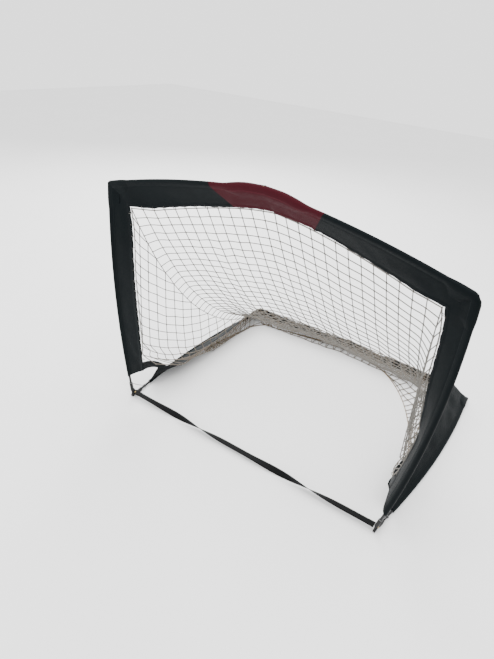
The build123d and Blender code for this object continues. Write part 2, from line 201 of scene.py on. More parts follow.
SKIRT_ARC = (0.575, 1.01)  # half width and depth of the arc that the right half's border lies on
SETTLE_STEPS = 420
SETTLE_PASSES = 14
TIME_STEP = 0.008
GRAVITY = 9.81
DAMPING = 0.985
FLOOR_DRAG = 0.5
START_JITTER = 0.002
LYING = 2 * TWINE_RADIUS  # how high a knot lies on the floor
NEAR_FLOOR = 2.3 * TWINE_RADIUS  # below this, the floor holds a knot back
NET_CLEAR = 0.006
NET_FLOOR = 0.0002
SOILED = (0.02, 0.30)  # heights between which the twine gets cleaner
CORD_PARTS = 4  # between two knots
STEEP = 0.8
# The run that each part of the net folds with
NET_RUNS = {"upper_net": "crossbar", "lower_net": "rear", "post_side_net": "post",
            "post_foot_net": "post", "arm_side_net": "arm", "arm_foot_net": "arm",
            "rear_skirt": "rear", "arm_skirt": "arm"}

# Loops that tie the net to the bands
LOOP_POINTS = 15
LOOP_REACH = 0.0082
LOOP_HALF = 0.0034
LOOP_OUT = 0.0008
LOOP_LEAN = 0.002
LOOP_TURN = 2.4
LOOP_RADIUS = 0.0009
LOOP_FROM_FOOT = 0.02
LOOP_FROM_CORNER = 0.026
LOOP_FROM_MIDDLE = 0.02

# Strap on the goal line
STRAP_WIDTH = 0.025
STRAP_HALF = 0.0009
STRAP_STEPS = 160
STRAP_EDGE = np.array([-1, -0.96, -0.5, 0, 0.5, 0.96, 1])
STRAP_EDGE_HALF = 0.55
STRAP_TURNS = ((0.07, 0.45), (0.52, 0.90))  # where its two half turns begin and end
STRAP_DROP = 0.004
STRAP_SEWN = (0.026, 0.028)
STRAP_DOUBLED = 0.9

# Elastic across each foot's opening
ELASTIC_RADIUS = 0.00125
ELASTIC_POINTS = 17
ELASTIC_ON_POST = 0.0585
ELASTIC_ON_ARM = 0.0815
ELASTIC_LOOP = 0.0062
ELASTIC_PITCH = 0.0016
ELASTIC_SAG = 0.002
ELASTIC_END = 0.006

# Weaves, stitches and strands
WEAVE_PITCH = 0.0014
STITCH_PITCH = 0.0042
STITCH_HALF = 0.00045
HEM_STITCHES = 0.0142  # from the pole's axis
BINDING_STITCHES = 0.0105  # from a band's edge
WORN_EDGE = 0.0022
TWIST_PITCH = 0.0038
RIB_PITCH = 0.0030
RIB_WIDTH = 0.0026
BRAID_PITCH = 0.002

FLOOR_HALF = 9.0
SKY_STRENGTH = 2.0

UP = np.array([0.0, 0.0, 1.0])
BACK = np.array([0.0, 1.0, 0.0])
SIDES = ("left", "right")
MIRROR = {"left": (1, 1, 1), "right": (-1, 1, 1)}
RUN_KEYS = ("post", "crossbar", "arm", "rear")
LONG_AXES = {"post": 2, "crossbar": 0, "arm": 1, "rear": 0}
BODIES = {side: {"post": f"{side}_post", "crossbar": f"crossbar_{side}", "arm": f"{side}_arm",
                 "rear": f"rear_{side}"} for side in SIDES}


# ---------------------------------------------------------------- camera
def add_object(name, data):
    made = bpy.data.objects.new(name, data)
    bpy.context.scene.collection.objects.link(made)
    return made


def add_camera():
    camera = add_object("camera", bpy.data.cameras.new("camera"))
    facing = (CAMERA_TARGET - CAMERA_AT).to_track_quat("-Z", "Y")
    camera.location = CAMERA_AT
    camera.rotation_mode = "QUATERNION"
    camera.rotation_quaternion = facing @ Quaternion((0, 0, 1), CAMERA_ROLL)
    camera.data.lens = CAMERA_LENS
    camera.data.sensor_width = CAMERA_SENSOR
    bpy.context.scene.camera = camera


# ---------------------------------------------------------------- numbers and directions
def unit(vector):
    return vector / np.linalg.norm(vector)


def smooth(low, high, value):
    """0 below low, 1 above high and an even S between them."""
    t = np.clip((value - low) / (high - low), 0, 1)
    return t * t * (3 - 2 * t)


def bump(centre, reach, value):
    """1 at centre, falling to 0 a reach away on both sides."""
    return 1 - smooth(0, reach, np.abs(value - centre))


def to_side(points, side):
    """Left points as they are, or mirrored for the right half."""
    return points * np.array(MIRROR[side])


# ---------------------------------------------------------------- the frame's lines, left half
def node_points(node):
    return np.array([v.co for v in frame["nodes"][node].data.vertices])


def pole_end(key, pick):
    """The middle of a pole's end face, at the low or high end of its long axis."""
    points = poles[key]
    values = points[:, LONG_AXES[key]]
    face = points[np.abs(values - pick(values)) < END_FACE_DEPTH]
    return np.unique(face.round(5), axis=0).mean(0)


def meet(first, second):
    """The point nearest to two lines, each given by two points."""
    a, b = unit(first[1] - first[0]), unit(second[1] - second[0])
    rows = np.concatenate([np.eye(3) - np.outer(a, a), np.eye(3) - np.outer(b, b)])
    values = np.concatenate([rows[:3] @ first[0], rows[3:] @ second[0]])
    return np.linalg.lstsq(rows, values, rcond=None)[0]


def mirrored(line):
    return [to_side(point, "right") for point in line]


class Run:
    """One pole's line from corner to corner, with the band of cloth that leaves it."""

    def __init__(self, key, start, end, flat, turn, lean, bowed=True):
        line, self.start, self.end = lines[key], start, end
        self.length = np.linalg.norm(end - start)
        self.along = unit(end - start)
        self.flat, self.turn = unit(flat), turn
        self.lean = lean
        self.first = (line[0] - start) @ self.along
        self.last = (line[1] - start) @ self.along
        self.out = -self.flat
        self.sag = ((poles[key] - line[0]) @ self.out).max() - POLE_RADIUS if bowed else 0.0
        self.edge = lambda s: GROUND_BAND + 0 * s
        self.bend = 0.0

    def bowed(self, s):
        u = (s - self.first) / (self.last - self.first)
        return 4 * self.sag * u * (1 - u)

    def profile(self, a, angle):
        """A band's line in section: flat at the pole, then bent over to its lean."""
        if not self.bend:
            return a * np.cos(angle), a * np.sin(angle), angle + 0 * a
        angle = np.maximum(angle, 1e-4)
        share = np.clip(a / self.bend, 0, 1)
        arc, beyond = self.bend / angle, np.clip(a - self.bend, 0, None)
        inward = np.minimum(a, 0) + arc * np.sin(angle * share) + beyond * np.cos(angle)
        off = arc * (1 - np.cos(angle * share)) + beyond * np.sin(angle)
        return inward, off, angle * share

    def at(self, s, a, b):
        """s along the pole, a out along the band, b off the band."""
        s, a, b = np.broadcast_arrays(s, a, b)
        inward, off, angle = self.profile(a, self.lean(s / self.length))
        inward, off = inward - b * np.sin(angle), off + b * np.cos(angle)
        line = self.start + s[..., None] * self.along + self.bowed(s)[..., None] * self.out
        side = unit(np.cross(self.along, self.flat))
        side = side * np.sign(side @ self.turn)
        return line + self.flat * inward[..., None] + side * off[..., None]


poles = {key: node_points(f"left_{key}_pole") for key in RUN_KEYS}
lines = {key: [pole_end(key, pick) for pick in (np.min, np.max)] for key in RUN_KEYS}
foot_corner = meet(lines["post"], lines["arm"])
top_corner = meet(lines["post"], lines["crossbar"])
rear_corner = meet(lines["arm"], lines["rear"])
peak_corner = meet(lines["crossbar"], mirrored(lines["crossbar"]))
middle_corner = meet(lines["rear"], mirrored(lines["rear"]))

post_along = unit(top_corner - foot_corner)
post_in = unit(np.cross(BACK, post_along))
arm_along = unit(rear_corner - foot_corner)
arm_in = unit(np.cross(arm_along, UP))
crossbar_along = unit(peak_corner - top_corner)
crossbar_down = unit(np.cross(BACK, crossbar_along))
rear_along = unit(middle_corner - rear_corner)
rear_forward = unit(np.cross(rear_along, UP))


def half_turn(first, second):
    """Half the angle between two runs that meet, for the mitre between their bands."""
    return np.arccos(np.clip(first @ second, -1, 1)) / 2


top_half = half_turn(-post_along, crossbar_along)
rear_half = half_turn(-arm_along, rear_along)
crossbar_slope = np.arcsin(crossbar_along[2])
rear_slope = np.arcsin(rear_along[1])


def mitre(run, a, corner, lean, half):
    """How far from a corner the seam between two bands lies, at a off the bowed pole."""
    inward = run.profile(a, lean)[0]
    bow = run.bowed(np.abs(corner - inward / tan(half)))
    return (inward - bow) / tan(half) - SEAM_LAP * (a > HEM_RADIUS)


def post_lean(side):
    """A post's band is pulled back towards the top corner, and turned in low down."""
    low, high = POST_FOOT_TURN
    return lambda u: (CORNER_LEAN[side] * smooth(*POST_CORNER_TURN, u)
                      + FOOT_LEAN[side] * np.clip((high - u) / (high - low), 0, 1))


def crossbar_lean(side):
    """The crossbar's band is pulled back more and more from its corner to the peak."""
    corner = CORNER_LEAN[side]
    return lambda u: corner + (CROSSBAR_TILT - corner) * np.sin(
        pi / 2 * np.clip((u - TILT_FROM) / (1 - TILT_FROM), 0, 1) ** TILT_POWER)


def arm_lean(side):
    lean = ARM_LEAN[side]
    return lambda u: (lean + (REAR_LEAN_CORNER - lean) * smooth(*ARM_CORNER_TURN, u)
                      + (ARM_FOOT_LEAN - lean) * (1 - smooth(*ARM_FOOT_TURN, u)))


def rear_lean(u):
    return REAR_LEAN_CORNER + (REAR_LEAN_MIDDLE - REAR_LEAN_CORNER) * u


def near_corner(edge, distance):
    """A band's width, which becomes the same on both bands where they meet at a top corner."""
    return edge + (CORNER_EDGE - edge) * (1 - smooth(CORNER_HOLD, CORNER_BLEND, distance))


def under_peak(run, s):
    """The width that rounds off the crossbar's edge below the peak."""
    near = np.clip(1 - (run.length - s) / PEAK_BLEND, 0, 1)
    return near ** 2 * PEAK_BLEND / 2 * tan(crossbar_slope)


def make_runs(side):
    """The four runs round half a goal, and where each band starts and ends along its run.

    Each end is a function of a, the distance off the pole. The two halves differ only in how
    the net turns the bands.
    """
    post = Run("post", foot_corner, top_corner, post_in, BACK, post_lean(side))
    crossbar = Run("crossbar", top_corner, peak_corner, crossbar_down, BACK, crossbar_lean(side))
    arm = Run("arm", foot_corner, rear_corner, arm_in, UP, arm_lean(side))
    rear = Run("rear", rear_corner, middle_corner, rear_forward, UP, rear_lean, bowed=False)
    post.bend = crossbar.bend = BAND_BEND
    post.edge = lambda s: near_corner(EDGE_FROM_CHORD + FOLLOW_BOW[side] * post.bowed(s),
                                      post.length - s)
    crossbar.edge = lambda s: near_corner(
        CROSSBAR_EDGE + crossbar.bowed(s) + under_peak(crossbar, s), s)

    corner = CORNER_LEAN[side]
    peak = tan(crossbar_slope) * cos(CROSSBAR_TILT)
    middle = tan(rear_slope) * cos(REAR_LEAN_MIDDLE)
    post.first_at = lambda a: (
        ARCH_START + ARCH_RISE * (np.clip(a, 0, None) / ARCH_WIDTH) ** ARCH_POWER)
    post.last_at = lambda a: post.length - mitre(post, a, post.length, corner, top_half)
    crossbar.first_at = lambda a: mitre(crossbar, a, 0, corner, top_half)
    crossbar.red_at = lambda a: crossbar.length - (RED_HALF_TOP - RED_SLANT * a) / cos(
        crossbar_slope)
    crossbar.last_at = lambda a: crossbar.length - a * peak
    arm.first_at = lambda a: ARM_ARCH_START + ARM_ARCH_RISE * np.clip(a, 0, None) / GROUND_BAND
    arm.last_at = lambda a: arm.length - mitre(arm, a, arm.length, REAR_LEAN_CORNER, rear_half)
    rear.first_at = lambda a: mitre(rear, a, 0, REAR_LEAN_CORNER, rear_half)
    rear.last_at = lambda a: rear.length - a * middle
    return {"post": post, "crossbar": crossbar, "arm": arm, "rear": rear}


runs = {side: make_runs(side) for side in SIDES}


# ---------------------------------------------------------------- meshes
def new_piece(name, verts, faces, material, uvs=None, floats=None):
    """A mesh object with smooth faces, and sharp edges only where the surface really turns."""
    mesh = bpy.data.meshes.new(name)
    mesh.from_pydata([tuple(v) for v in verts], [], [tuple(f) for f in faces])
    mesh.validate()
    if uvs is not None:
        layer = mesh.uv_layers.new(name="cloth")
        corners = np.empty(len(mesh.loops), int)
        mesh.loops.foreach_get("vertex_index", corners)
        layer.data.foreach_set("uv", np.asarray(uvs, float)[corners].ravel())
    for key, values in (floats or {}).items():
        attribute = mesh.attributes.new(key, "FLOAT", "POINT")
        attribute.data.foreach_set("value", np.asarray(values, np.float32))
    mesh.shade_smooth()
    mesh.set_sharp_from_angle(angle=radians(50))
    mesh.materials.append(material)
    piece = add_object(name, mesh)
    return piece


def ring_faces(sections, size, first=0):
    """Faces between closed sections of equal size, with a cap at each end."""
    faces = []
    for row in range(sections - 1):
        low = first + row * size
        for k in range(size):
            after = (k + 1) % size
            faces.append((low + k, low + after, low + size + after, low + size + k))
    faces.append(tuple(first + k for k in reversed(range(size))))
    faces.append(tuple(first + (sections - 1) * size + k for k in range(size)))
    return faces


def on_side(points, faces, side):
    """Left geometry as it is, or its mirror image with the faces turned back outwards."""
    if side == "right":
        faces = [tuple(reversed(face)) for face in faces]
    return to_side(points, side), faces


def outward(points, faces):
    """Turns the faces over if the shell they close has a negative volume."""
    volume = 0.0
    for face in faces:
        corner = points[face[0]]
        for i in range(1, len(face) - 1):
            volume += corner @ np.cross(points[face[i]], points[face[i + 1]])
    if volume < 0:
        faces = [tuple(reversed(face)) for face in faces]
    return faces


# ---------------------------------------------------------------- cloth
def wrinkle(s, a, seed, height):
    """Soft folds across a band: none at the hem, most in the middle, some at the edge."""
    broad = noise.noise((s * BROAD_FOLDS[0], a * BROAD_FOLDS[1], seed))
    fine = noise.noise((s * FINE_FOLDS[0], a * FINE_FOLDS[1], seed + 5))
    along, across, slant = CREASE_FOLDS
    crease = noise.noise((s * along + a * across, (a - s) * slant, seed + 9))
    folds = broad + FINE_SHARE * fine + CREASE_SHARE * crease
    return height * folds * float(smooth(*WRINKLE_FROM, a))


def channel_profile(radius, reach):
    """A hem's section: round over the pole, closing to a flat edge at its reach."""
    arc = np.linspace(pi / 2, 3 * pi / 2, HEM_ROUND_POINTS)
    flat = HEM_FLAT_SHARES * reach
    half = BINDING_HALF + (radius - BINDING_HALF) * (1 - smooth(0, 1, HEM_FLAT_SHARES))
    a = np.concatenate([radius * np.cos(arc), flat, flat[::-1]])
    b = np.concatenate([radius * np.sin(arc), -half, half[::-1]])
    return a, b


def pouch_size(distance):
    """How full a hem is, 1 round a hinge and 0 past its pouch."""
    return 1 - smooth(POUCH_FULL, POUCH_SPAN, distance)


def peak_size(distance):
    """The same at the peak, whose pouch is longer so that it bends over evenly."""
    return 1 - smooth(*PEAK_POUCH, distance)


def shares(first, last):
    """Even steps from 0 to 1, about a station apart along the pole."""
    return np.linspace(0, 1, max(3, int(abs(last(0) - first(0)) / STATION_STEP) + 1))


def between(first, last, share, a=0):
    return first(a) + share * (last(a) - first(a))


def square_at(place):
    """An end square across the band, the same at every distance off the pole."""
    return lambda a: place + 0 * a


def lift(points):
    """Cloth rests on the floor and never goes through it."""
    points[..., 2] = np.maximum(points[..., 2], FLOOR_GAP)
    return points


def hem_sections(run, first, last, seed, full=None, outwards=None):
    """Sections of a hem between two places, which may slant with a, the distance off the pole."""
    rows, marks = [], []
    for share in shares(first, last):
        at = between(first, last, share)
        size = full(at) if full else 0.0
        radius = HEM_RADIUS + (POUCH_RADIUS - HEM_RADIUS) * size + POUCH_OVER * (size > 0)
        reach = HEM_REACH + (POUCH_REACH - HEM_REACH) * size
        a, b = channel_profile(radius, reach)
        s = between(first, last, share, a)
        creases = [1 + HEM_CREASE * noise.noise((x * HEM_CREASES[0], y * HEM_CREASES[1], seed))
                   for x, y in zip(s, b)]
        shift = outwards(at) if outwards else 0.0
        rows.append(run.at(s, a - shift * (a < reach * HEM_OUTER), b * np.array(creases)))
        marks.append(np.stack([s, a], 1))
    return lift(np.array(rows)), np.array(marks)


def sections_piece(name, rows, marks, side, material, from_edge=1.0):
    """A closed shell through sections. from_edge tells the cloth how far each point is from one."""
    points = rows.reshape(-1, 3)
    faces = outward(points, ring_faces(len(rows), rows.shape[1]))
    points, faces = on_side(points, faces, side)
    from_edge = np.broadcast_to(from_edge, rows.shape[:2]).ravel()
    return new_piece(name, points, faces, material, marks.reshape(-1, 2),
                     {"from_edge": from_edge})


def band_piece(name, run, first, last, side, material, seed, height):
    """A flat doubled band of cloth with a bound edge, from inside the hem to the net."""
    from_edge, binding_half = BINDING_SECTION.T
    half = np.concatenate([np.full(BAND_POINTS, CLOTH_HALF), binding_half])
    count = len(half)
    order = np.concatenate([np.arange(count), np.arange(count - 2, -1, -1)])
    half = half[order] * np.where(np.arange(len(order)) < count, 1, -1)
    rows, marks, edges = [], [], []
    for share in shares(first, last):
        at = between(first, last, share)
        width = float(run.edge(np.array(between(first, last, share, NEAR_EDGE))))
        flat = np.linspace(BAND_ROOT, width - BINDING_WIDTH - BINDING_STEP, BAND_POINTS)
        a = np.concatenate([flat, width - from_edge])
        s = between(first, last, share, a)
        fade = float(smooth(0, BAND_FADE, at - first(0)) * smooth(0, BAND_FADE, last(0) - at))
        waves = np.array([wrinkle(x, y, seed, height * fade) for x, y in zip(s, a)])
        scallop = SCALLOP * cos(2 * pi * at / SCALLOP_PITCH) * float(smooth(*SCALLOP_FROM, at))
        a = a + scallop * (a > SCALLOP_WIDTH)
        rows.append(run.at(s[order], a[order], waves[order] + half))
        marks.append(np.stack([s[order], a[order]], 1))
        edges.append(width - a[order])
    return sections_piece(name, lift(np.array(rows)), np.array(marks), side, material, edges)


def squash_to_pole(piece, run, side):
    """Works out the way out along the band and an anchor by the pole, which nothing uses, and gives
    the piece its own mesh.
    """
    middle = run.length / 2
    band = to_side(unit(run.at(middle, NEAR_EDGE, 0.0) - run.at(middle, 0.0, 0.0)), side)
    anchor = to_side(run.at(middle, HEM_RADIUS, 0.0) - run.out * run.sag * ANCHOR_BOW, side)
    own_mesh(piece)


def round_corner(points, corner, first_in, second_in, radius, bend):
    """Rounds a square outer corner: what lay on its two sides comes to lie on an arc."""
    outer = corner - (first_in + second_in) * radius
    u, v = (points - outer) @ first_in, (points - outer) @ second_in
    du, dv = bend - u, bend - v
    inside = (du > 0) & (dv > 0)
    far = np.maximum(np.hypot(du, dv), 1e-9)
    keep = np.where(inside, np.maximum(du, dv) / far, 1.0)
    step_u = np.where(inside, bend - du * keep - u, 0.0)
    step_v = np.where(inside, bend - dv * keep - v, 0.0)
    return points + step_u[..., None] * first_in + step_v[..., None] * second_in


def corner_piece(name, before, after, inward, side, material):
    """The pouch of cloth round a hinge, from one hem across the corner to the next."""
    end = before.length
    near, near_marks = hem_sections(before, square_at(end - POUCH_SPAN), before.last_at,
                                    POUCH_SEEDS[0], lambda s: pouch_size(end - s))
    far, far_marks = hem_sections(after, after.first_at, square_at(POUCH_SPAN), POUCH_SEEDS[1],
                                  pouch_size)
    rows = np.concatenate([near, far[1:]])
    marks = np.concatenate([near_marks, far_marks[1:] + (near_marks[-1, :, 0].max(), 0)])
    rows = lift(round_corner(rows, before.end, inward[0], inward[1], POUCH_RADIUS,
                             CORNER_ROUND[side]))
    return sections_piece(name, rows, marks, side, material)


def add_corner(side, name, first, second, inward, material):
    """A corner's pouch, between the two runs that meet there, with its transform baked in."""
    before, after = runs[side][first], runs[side][second]
    piece = corner_piece(f"{side}_{name}_corner_cloth", before, after, inward, side, material)
    start = to_side(before.at(before.length - BLEND_FROM, 0, 0), side)
    end = to_side(after.at(BLEND_FROM, 0, 0), side)
    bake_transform(piece)


def bridge_piece(name, side, material):
    """The strip that carries the cloth from the post's band on to the arm's, over the foot."""
    post, arm = runs[side]["post"], runs[side]["arm"]
    post_low, arm_low = float(post.first_at(POST_FOOT_EDGE)), float(arm.first_at(GROUND_BAND))
    post_edge = float(post.edge(post_low))
    edges = [(post.at(post_low + post_up, post_edge - from_post_edge, 0.0),
              arm.at(arm_low + arm_up, GROUND_BAND - from_arm_edge, 0.0), rise)
             for (post_up, from_post_edge), (arm_up, from_arm_edge), rise in BRIDGE_EDGES]
    rows, marks = [], []
    for t in np.linspace(0, 1, BRIDGE_STEPS):
        low, high = (p * (1 - t) + q * t + UP * rise * 4 * t * (1 - t) for p, q, rise in edges)
        off = unit(np.cross(high - low, arm_along - post_along)) * CLOTH_HALF * 1.5
        across = [low + (high - low) * share for share in BRIDGE_SHARES]
        rows.append([p + off for p in across] + [p - off for p in reversed(across)])
        marks.append([(t * BRIDGE_LENGTH, share * BRIDGE_WIDTH)
                      for share in BRIDGE_SHARES + BRIDGE_SHARES[::-1]])
    return sections_piece(name, np.array(rows), np.array(marks), side, material)


def add_bridge(side, material):
    post, arm = runs[side]["post"], runs[side]["arm"]
    bridge = bridge_piece(f"{side}_foot_bridge", side, material)
    start = to_side(post.at(post.first_at(BRIDGE_BEND_AT), BRIDGE_BEND_AT, 0.0), side)
    end = to_side(arm.at(arm.first_at(GROUND_BAND), GROUND_BAND, 0.0), side)
    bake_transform(bridge)


def add_hem(side, key, last, material, full=None, outwards=None):
    run = runs[side][key]
    first = run.first_at if key in ("post", "arm") else square_at(POUCH_SPAN - POUCH_LAP)
    rows, marks = hem_sections(run, first, last, HEM_SEED + len(side), full, outwards)
    hem = sections_piece(f"{side}_{key}_hem", rows, marks, side, material)
    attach(hem, BODIES[side][key])
    return hem


def add_band(name, side, key, first, last, material, node, height):
    run = runs[side][key]
    band = band_piece(name, run, first, last, side, material,
                      BAND_SEED + BAND_SEED_STEP * len(side) + len(key), height)
    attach(band, BODIES[side][key])
    squash_to_pole(band, run, side)
    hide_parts(node)
    start, end = float(first(MID_BAND)), float(last(MID_BAND))
    cut = (float(run.edge(np.array((start + end) / 2))), end - start)


def build_half_cloth(side, black, red):
    post, crossbar, arm, rear = (runs[side][key] for key in RUN_KEYS)
    hem_to = POUCH_SPAN - POUCH_LAP
    hems = {
        "post": add_hem(side, "post", square_at(post.length - hem_to), black),
        "crossbar": add_hem(side, "crossbar", crossbar.red_at, black),
        "arm": add_hem(side, "arm", square_at(arm.length - hem_to), black),
        "rear": add_hem(side, "rear", rear.last_at, black, lambda s: pouch_size(rear.length - s),
                        lambda s: REAR_MIDDLE_RISE * bump(rear.length, REAR_MIDDLE_REACH, s)),
    }
    ends = {"post": post.last_at, "crossbar": crossbar.red_at, "arm": arm.last_at,
            "rear": rear.last_at}
    for key, last in ends.items():
        add_band(f"{side}_{key}_band", side, key, runs[side][key].first_at, last, black,
                 f"{side}_{key}_sleeve", WRINKLE_HEIGHT[key])
    add_band(f"{side}_centre_band", side, "crossbar", crossbar.red_at, crossbar.last_at, red,
             f"{side}_centre_panel", WRINKLE_HEIGHT["centre"])
    add_corner(side, "top", "post", "crossbar", (post_in, crossbar_down), black)
    add_corner(side, "rear", "arm", "rear", (arm_in, rear_forward), black)
    add_bridge(side, black)


def build_centre_hem(red):
    """The red hem over the peak, across the crossbar's two halves."""
    crossbar = runs["left"]["crossbar"]

    def rise(s):
        from_peak = crossbar.length - s
        return (PEAK_RISE + PEAK_SWELL * from_peak) * (1 - smooth(*PEAK_SWELL_ENDS, from_peak))

    rows, marks = hem_sections(crossbar, crossbar.red_at, crossbar.last_at, CENTRE_SEED,
                               lambda s: peak_size(crossbar.length - s), rise)
    rows = np.concatenate([rows, to_side(rows, "right")[-2::-1]])
    middle = np.array([marks[-1, 0, 0] * 2, 0])
    marks = np.concatenate([marks, middle + marks[-2::-1] * (-1, 1)])
    hem = sections_piece("centre_hem", rows, marks, "left", red)
    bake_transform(hem)


# ---------------------------------------------------------------- net
def edge_points(run, first, last, count):
    """Evenly spaced points just off a band's edge, between two places on the edge."""
    s = np.linspace(first, last, count)
    return run.at(s, run.edge(s) + NET_HANG, 0 * s)


def net_spans(side):
    """Along each band's edge, where the net's first and last ties are."""
    post, crossbar, arm, rear = (runs[side][key] for key in RUN_KEYS)
    return {
        "post": (post.first_at(POST_FOOT_EDGE) + BRIDGE_WIDTH,
                 post.last_at(CORNER_EDGE) - TIE_INSET),
        "crossbar": (crossbar.first_at(CORNER_EDGE) + TIE_INSET,
                     crossbar.last_at(CROSSBAR_EDGE)),
        "arm": (arm.first_at(GROUND_BAND) + BRIDGE_WIDTH, arm.last_at(GROUND_BAND) - TIE_INSET),
        "rear": (rear.first_at(GROUND_BAND) + TIE_INSET, rear.last_at(GROUND_BAND)),
    }


def ties_along(side, key, count):
    return edge_points(runs[side][key], *net_spans(side)[key], count)


def joined(left, right):
    """Points from the left corner to the right one, from the two halves up to the middle."""
    right = to_side(right, "right")
    middle = (left[-1] + right[-1]) / 2
    return np.concatenate([left[:-1], [middle], right[-2::-1]])


class Layout:
    """The net before it hangs: its knots, numbered by their keys, and its cords by direction."""

    def __init__(self):
        self.points, self.number, self.cords = [], {}, []
        self.tied, self.pinned = set(), set()

    def add(self, key, point):
        self.number[key] = len(self.points)
        self.points.append(point)

    def numbers(self, keys):
        return [self.number[key] for key in keys]

    def cord(self, kind, keys):
        self.cords.append((kind, self.numbers(keys)))


def lay_main(net):
    """The sloping back, whose keys count rows down from the crossbar and columns from the left."""
    half = NET_COLUMNS // 2 + 1
    top = joined(*(ties_along(side, "crossbar", half) for side in SIDES))
    tail = joined(*(ties_along(side, "rear", half) for side in SIDES))
    for row in range(NET_ROWS + 1):
        share = row / NET_ROWS
        for column in range(NET_COLUMNS + 1):
            net.add(("main", row, column), top[column] * (1 - share) + tail[column] * share)
    rows = [[("main", row, column) for column in range(NET_COLUMNS + 1)]
            for row in range(NET_ROWS + 1)]
    for keys in rows:
        net.cord("row", keys)
    for keys in zip(*rows):
        net.cord("column", keys)
    net.tied |= set(net.numbers(rows[0] + rows[-1]))


def side_point(front, base, i, j):
    """A knot of a side, i steps back along the arm and j steps up the post."""
    if i == 0 and j == 0:
        return (front[0] + base[0]) / 2
    if i == 0:
        return front[j]
    if j == 0:
        return base[i]
    u, v = i / SIDE_STEPS, j / SIDE_STEPS
    return front[0] * (1 - u - v) + base[-1] * u + front[-1] * v


def lay_side(net, side):
    """A triangle between post, arm and the back, keyed by steps back and steps up."""
    front = ties_along(side, "post", SIDE_STEPS + 1)
    base = ties_along(side, "arm", SIDE_STEPS + 1)
    column = 0 if side == "left" else NET_COLUMNS
    for i in range(SIDE_STEPS + 1):
        for j in range(SIDE_STEPS - i):
            net.add((side, i, j), to_side(side_point(front, base, i, j), side))
        net.number[(side, i, SIDE_STEPS - i)] = net.number[("main", 2 * i, column)]
    for j in range(SIDE_STEPS):
        net.cord("side row", [(side, i, j) for i in range(SIDE_STEPS + 1 - j)])
    for i in range(SIDE_STEPS):
        net.cord("side column", [(side, i, j) for j in range(SIDE_STEPS + 1 - i)])
    net.tied |= set(net.numbers([(side, 0, j) for j in range(SIDE_STEPS + 1)]))
    net.tied |= set(net.numbers([(side, i, 0) for i in range(SIDE_STEPS + 1)]))


def ground_lines(x, y):
    """At a place on the ground: how far out the arms' poles lie, and how far back the rear's."""
    arm = runs["left"]["arm"]
    along = np.clip((y - arm.start[1]) / arm.along[1], 0, arm.length)
    out = np.abs(arm.start[0] + arm.along[0] * along + arm.out[0] * arm.bowed(along))
    return out, middle_corner[1] - np.abs(x) * tan(rear_slope)


def arc_point(tie, out, back):
    """Where the net's border lies below a tie of the right half, on a wide arc on the floor."""
    front = foot_corner[1]
    half_width, depth = SKIRT_ARC
    reach = np.hypot(tie[0] / half_width, (tie[1] - front) / depth)
    return np.array([min(tie[0] / reach, out), min(front + (tie[1] - front) / reach, back),
                     BORDER_RADIUS])


def border_point(tie, on_rear):
    """Where the net's border lies on the floor below a tie on a ground band."""
    out, back = ground_lines(tie[0], tie[1])
    if tie[0] >= 0:
        return arc_point(tie, out - SKIRT_IN, back - SKIRT_IN)
    from_arm, from_rear = out - abs(tie[0]), back - tie[1]
    turn = smooth(-SKIRT_TURN, SKIRT_TURN, from_arm - from_rear)
    from_corner = max(from_arm, from_rear) - GROUND_BAND * cos(REAR_LEAN_CORNER)
    reach = SKIRT_CUT_REAR if on_rear else SKIRT_CUT_ARM
    inward = SKIRT_IN + SKIRT_CUT * (1 - smooth(0, reach, from_corner))
    side_in, back_in = unit(np.array([1 - turn, turn])) * inward
    x = min(abs(tie[0]), out) if on_rear else out
    y = back if on_rear else min(tie[1], back)
    return np.array([side_in - x, y - back_in, BORDER_RADIUS])


def lay_skirt(net):
    """Rows of net past the ties on the ground bands, down to a border that lies on the floor."""
    path = [("left", i, 0) for i in range(SKIRT_FIRST, SIDE_STEPS)]
    path += [("main", NET_ROWS, column) for column in range(NET_COLUMNS + 1)]
    path += [("right", i, 0) for i in range(SIDE_STEPS - 1, SKIRT_LAST - 1, -1)]
    down = range(1, SKIRT_ROWS + 1)
    for place, key in enumerate(path):
        tie = net.points[net.number[key]]
        border = border_point(tie, key[0] == "main")
        for row in down:
            point = tie + (border - tie) * (row / SKIRT_ROWS) ** SKIRT_CROWD
            net.add(("skirt", row, place), point)
    for row in down:
        net.cord("skirt row", [("skirt", row, place) for place in range(len(path))])
    net.pinned = set(net.cords[-1][1])
    for place, key in enumerate(path):
        net.cord("skirt column", [key] + [("skirt", row, place) for row in down])


def cord_batches(points, cords):
    """The pieces of cord between knots, in batches that share no knot, and their lengths."""
    random = np.random.default_rng(7)
    batches = {}
    for kind, cord in cords:
        for k in range(len(cord) - 1):
            batches.setdefault((kind, k % 2), []).append((cord[k], cord[k + 1]))
    out = []
    for (kind, _), pairs in batches.items():
        i, j = np.array(pairs).T
        length = np.linalg.norm(points[i] - points[j], axis=1) * SLACK[kind]
        if kind == "skirt column":
            length = np.maximum(length, SKIRT_MESH)
        out.append((i, j, length * random.uniform(*UNEVEN, len(length))))
    return out


